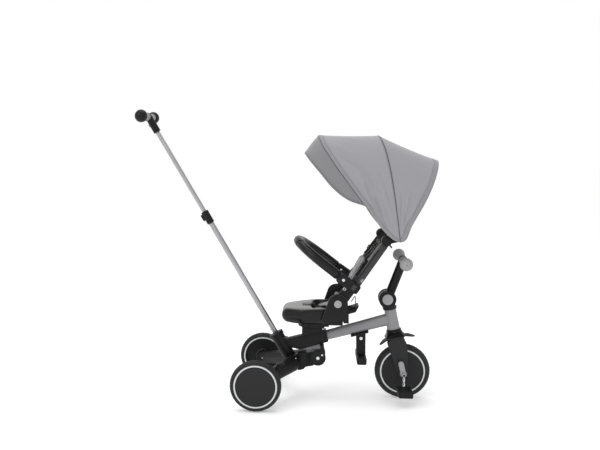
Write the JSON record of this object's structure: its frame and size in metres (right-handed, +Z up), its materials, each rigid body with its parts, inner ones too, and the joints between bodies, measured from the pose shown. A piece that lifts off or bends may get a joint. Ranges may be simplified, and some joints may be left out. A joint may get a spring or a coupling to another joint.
{
  "type": "children's tricycle",
  "caption": "Folding push tricycle for a small child: rear-facing swivel seat with bumper bar and fan canopy, long telescopic parent pole, pedals on the front wheel.",
  "frame": {"origin": "on the ground under the middle of the whole tricycle, on its mid-plane", "axes": "+X towards the front wheel, +Y to the tricycle's left, +Z up"},
  "size_m": [1.123, 0.483, 1.1033],
  "materials": {
    "frame_paint": "satin powder coat",
    "moulded_black": "fine moulded grain",
    "backrest_plastic": "fine moulded grain",
    "handlebar_black": "smooth matt",
    "trim_grey": "satin",
    "grip_grey": "soft matt",
    "tyre_black": "matt",
    "wheel_graphite": "satin",
    "plated_steel": "zinc plated",
    "pole_aluminium": "drawn, satin",
    "pedal_black": "ribbed",
    "bumper_skin": "smooth padded vinyl skin, semi gloss",
    "button_graphite": "semi gloss",
    "seat_cloth": "woven polyester over foam",
    "webbing": "woven webbing",
    "buckle_black": "semi gloss",
    "bow_black": "black coated steel wire",
    "canopy_cloth": "woven polyester",
    "visor_cloth": "woven polyester, slightly darker"
  },
  "bodies": {
    "frame": {"main_frame": "frame_paint", "rear_sleeve": "moulded_black", "swivel_base": "moulded_black", "hinge_bracket": "moulded_black", "frame_pins": "plated_steel", "frame_brace": "trim_grey", "footrest_bracket": "moulded_black"},
    "footrest": {"footrest": "moulded_black"},
    "fork": {"fork": "moulded_black", "mudguard": "moulded_black", "bar_hub": "moulded_black", "axle_clamps": "trim_grey"},
    "handlebar": {"handlebar": "handlebar_black", "bar_grips": "grip_grey"},
    "bar_button_left": {"bar_button_left": "trim_grey"},
    "bar_button_right": {"bar_button_right": "trim_grey"},
    "front_wheel": {"front_tyre": "tyre_black", "front_rim": "wheel_graphite", "crank_axle": "plated_steel"},
    "pedal_left": {"pedal_left": "pedal_black"},
    "pedal_right": {"pedal_right": "pedal_black"},
    "rear_frame": {"rear_yoke": "moulded_black", "rear_legs": "moulded_black", "rear_axles": "plated_steel"},
    "rear_wheel_left": {"rear_tyre_left": "tyre_black", "rear_rim_left": "wheel_graphite"},
    "rear_wheel_right": {"rear_tyre_right": "tyre_black", "rear_rim_right": "wheel_graphite"},
    "brake_left": {"brake_lever_left": "moulded_black"},
    "brake_right": {"brake_lever_right": "moulded_black"},
    "pole_lower": {"pole_lower": "pole_aluminium", "pole_collar": "moulded_black"},
    "pole_upper": {"pole_upper": "pole_aluminium", "handle_clamp": "moulded_black", "handle_grip": "grip_grey", "handle_ends": "handlebar_black"},
    "handle_button": {"handle_button": "trim_grey"},
    "pole_button": {"pole_button": "plated_steel"},
    "seat": {"swivel_plate": "moulded_black", "seat_shell": "moulded_black", "seat_pad": "seat_cloth", "side_brackets": "moulded_black", "recline_caps": "trim_grey", "harness_buckle": "buckle_black"},
    "seat_lock": {"seat_lock": "moulded_black"},
    "backrest": {"backrest_frame": "backrest_plastic", "backrest_shell": "backrest_plastic", "backrest_pad": "seat_cloth", "shoulder_straps": "webbing", "canopy_brackets": "moulded_black", "bumper_clamps": "moulded_black", "bow_rear": "bow_black"},
    "bumper": {"bumper_bar": "bumper_skin"},
    "bumper_button_left": {"bumper_button_left": "button_graphite"},
    "bumper_button_right": {"bumper_button_right": "button_graphite"},
    "canopy_mid": {"bow_mid": "bow_black", "canopy_rear_panel": "canopy_cloth"},
    "canopy_front": {"bow_front": "bow_black", "canopy_visor": "visor_cloth", "canopy_front_panel": "canopy_cloth"}
  },
  "joints": [
    {"name": "steering", "type": "hinge", "parent": "frame", "child": "fork", "pos_m": [0.39977, 0, 0.345], "axis": [-0.1908, 0, 0.9816], "range_deg": [-30, 30]},
    {"name": "handlebar_fold", "type": "hinge", "parent": "fork", "child": "handlebar", "pos_m": [0.38827, 0, 0.386], "axis": [0, 1, 0], "range_deg": [0, 75]},
    {"name": "bar_button_left_press", "type": "slide", "parent": "fork", "child": "bar_button_left", "axis": [0, -1, 0], "range_m": [0, 0.003], "stiffness_N_per_m": 300},
    {"name": "bar_button_right_press", "type": "slide", "parent": "fork", "child": "bar_button_right", "axis": [0, 1, 0], "range_m": [0, 0.003], "stiffness_N_per_m": 300},
    {"name": "front_wheel_spin", "type": "hinge", "parent": "fork", "child": "front_wheel", "pos_m": [0.44977, 0, 0.1055], "axis": [0, 1, 0], "continuous": true},
    {"name": "pedal_left_spin", "type": "hinge", "parent": "front_wheel", "child": "pedal_left", "pos_m": [0.44977, 0.113, 0.1595], "axis": [0, 1, 0], "continuous": true},
    {"name": "pedal_right_spin", "type": "hinge", "parent": "front_wheel", "child": "pedal_right", "pos_m": [0.44977, -0.113, 0.0515], "axis": [0, 1, 0], "continuous": true},
    {"name": "rear_fold", "type": "hinge", "parent": "frame", "child": "rear_frame", "pos_m": [0.12577, 0, 0.157], "axis": [0, -1, 0], "range_deg": [0, 150]},
    {"name": "rear_wheel_left_spin", "type": "hinge", "parent": "rear_frame", "child": "rear_wheel_left", "pos_m": [-0.10122, 0.2225, 0.095], "axis": [0, 1, 0], "continuous": true},
    {"name": "rear_wheel_right_spin", "type": "hinge", "parent": "rear_frame", "child": "rear_wheel_right", "pos_m": [-0.10122, -0.2225, 0.095], "axis": [0, 1, 0], "continuous": true},
    {"name": "brake_left_press", "type": "hinge", "parent": "rear_frame", "child": "brake_left", "pos_m": [-0.04523, 0.178, 0.112], "axis": [0, 1, 0], "range_deg": [0, 12]},
    {"name": "brake_right_press", "type": "hinge", "parent": "rear_frame", "child": "brake_right", "pos_m": [-0.04523, -0.178, 0.112], "axis": [0, 1, 0], "range_deg": [0, 12]},
    {"name": "pole_draw", "type": "slide", "parent": "frame", "child": "pole_lower", "axis": [-0.509, 0, 0.8607], "range_m": [0, 0.09]},
    {"name": "pole_telescope", "type": "slide", "parent": "pole_lower", "child": "pole_upper", "axis": [-0.509, 0, 0.8607], "range_m": [-0.3, 0]},
    {"name": "pole_button_press", "type": "slide", "parent": "pole_lower", "child": "pole_button", "axis": [0.8607, 0, 0.509], "range_m": [0, 0.0025], "stiffness_N_per_m": 300},
    {"name": "handle_button_press", "type": "slide", "parent": "pole_upper", "child": "handle_button", "axis": [0.8607, 0, 0.509], "range_m": [0, 0.0025], "stiffness_N_per_m": 300},
    {"name": "seat_swivel", "type": "hinge", "parent": "frame", "child": "seat", "pos_m": [0.10677, 0, 0.28], "axis": [0, 0, 1], "continuous": true},
    {"name": "seat_lock_press", "type": "hinge", "parent": "seat", "child": "seat_lock", "pos_m": [0.22878, 0, 0.338], "axis": [0, 1, 0], "range_deg": [0, 10], "stiffness_Nm_per_rad": 1},
    {"name": "backrest_recline", "type": "hinge", "parent": "seat", "child": "backrest", "pos_m": [0.19778, 0, 0.383], "axis": [0, 1, 0], "range_deg": [-24, 0]},
    {"name": "bumper_lift", "type": "hinge", "parent": "backrest", "child": "bumper", "pos_m": [0.21659, 0, 0.47706], "axis": [0, 1, 0], "range_deg": [0, 60]},
    {"name": "bumper_button_left_press", "type": "slide", "parent": "backrest", "child": "bumper_button_left", "axis": [0, -1, 0], "range_m": [0, 0.0025], "stiffness_N_per_m": 300},
    {"name": "bumper_button_right_press", "type": "slide", "parent": "backrest", "child": "bumper_button_right", "axis": [0, 1, 0], "range_m": [0, 0.0025], "stiffness_N_per_m": 300},
    {"name": "canopy_mid_fold", "type": "hinge", "parent": "backrest", "child": "canopy_mid", "pos_m": [0.41778, 0, 0.63], "axis": [0, 1, 0], "range_deg": [0, 31], "deforming": ["canopy_rear_panel"]},
    {"name": "canopy_front_fold", "type": "hinge", "parent": "canopy_mid", "child": "canopy_front", "pos_m": [0.41778, 0, 0.63], "axis": [0, 1, 0], "range_deg": [0, 21.8], "deforming": ["canopy_front_panel"]},
    {"name": "footrest_fold", "type": "hinge", "parent": "frame", "child": "footrest", "pos_m": [0.29028, 0, 0.232], "axis": [0, 1, 0], "range_deg": [0, 56]}
  ],
  "couplings": [
    {"joint": "canopy_front_fold", "follows": "canopy_mid_fold", "ratio": 0.7}
  ]
}
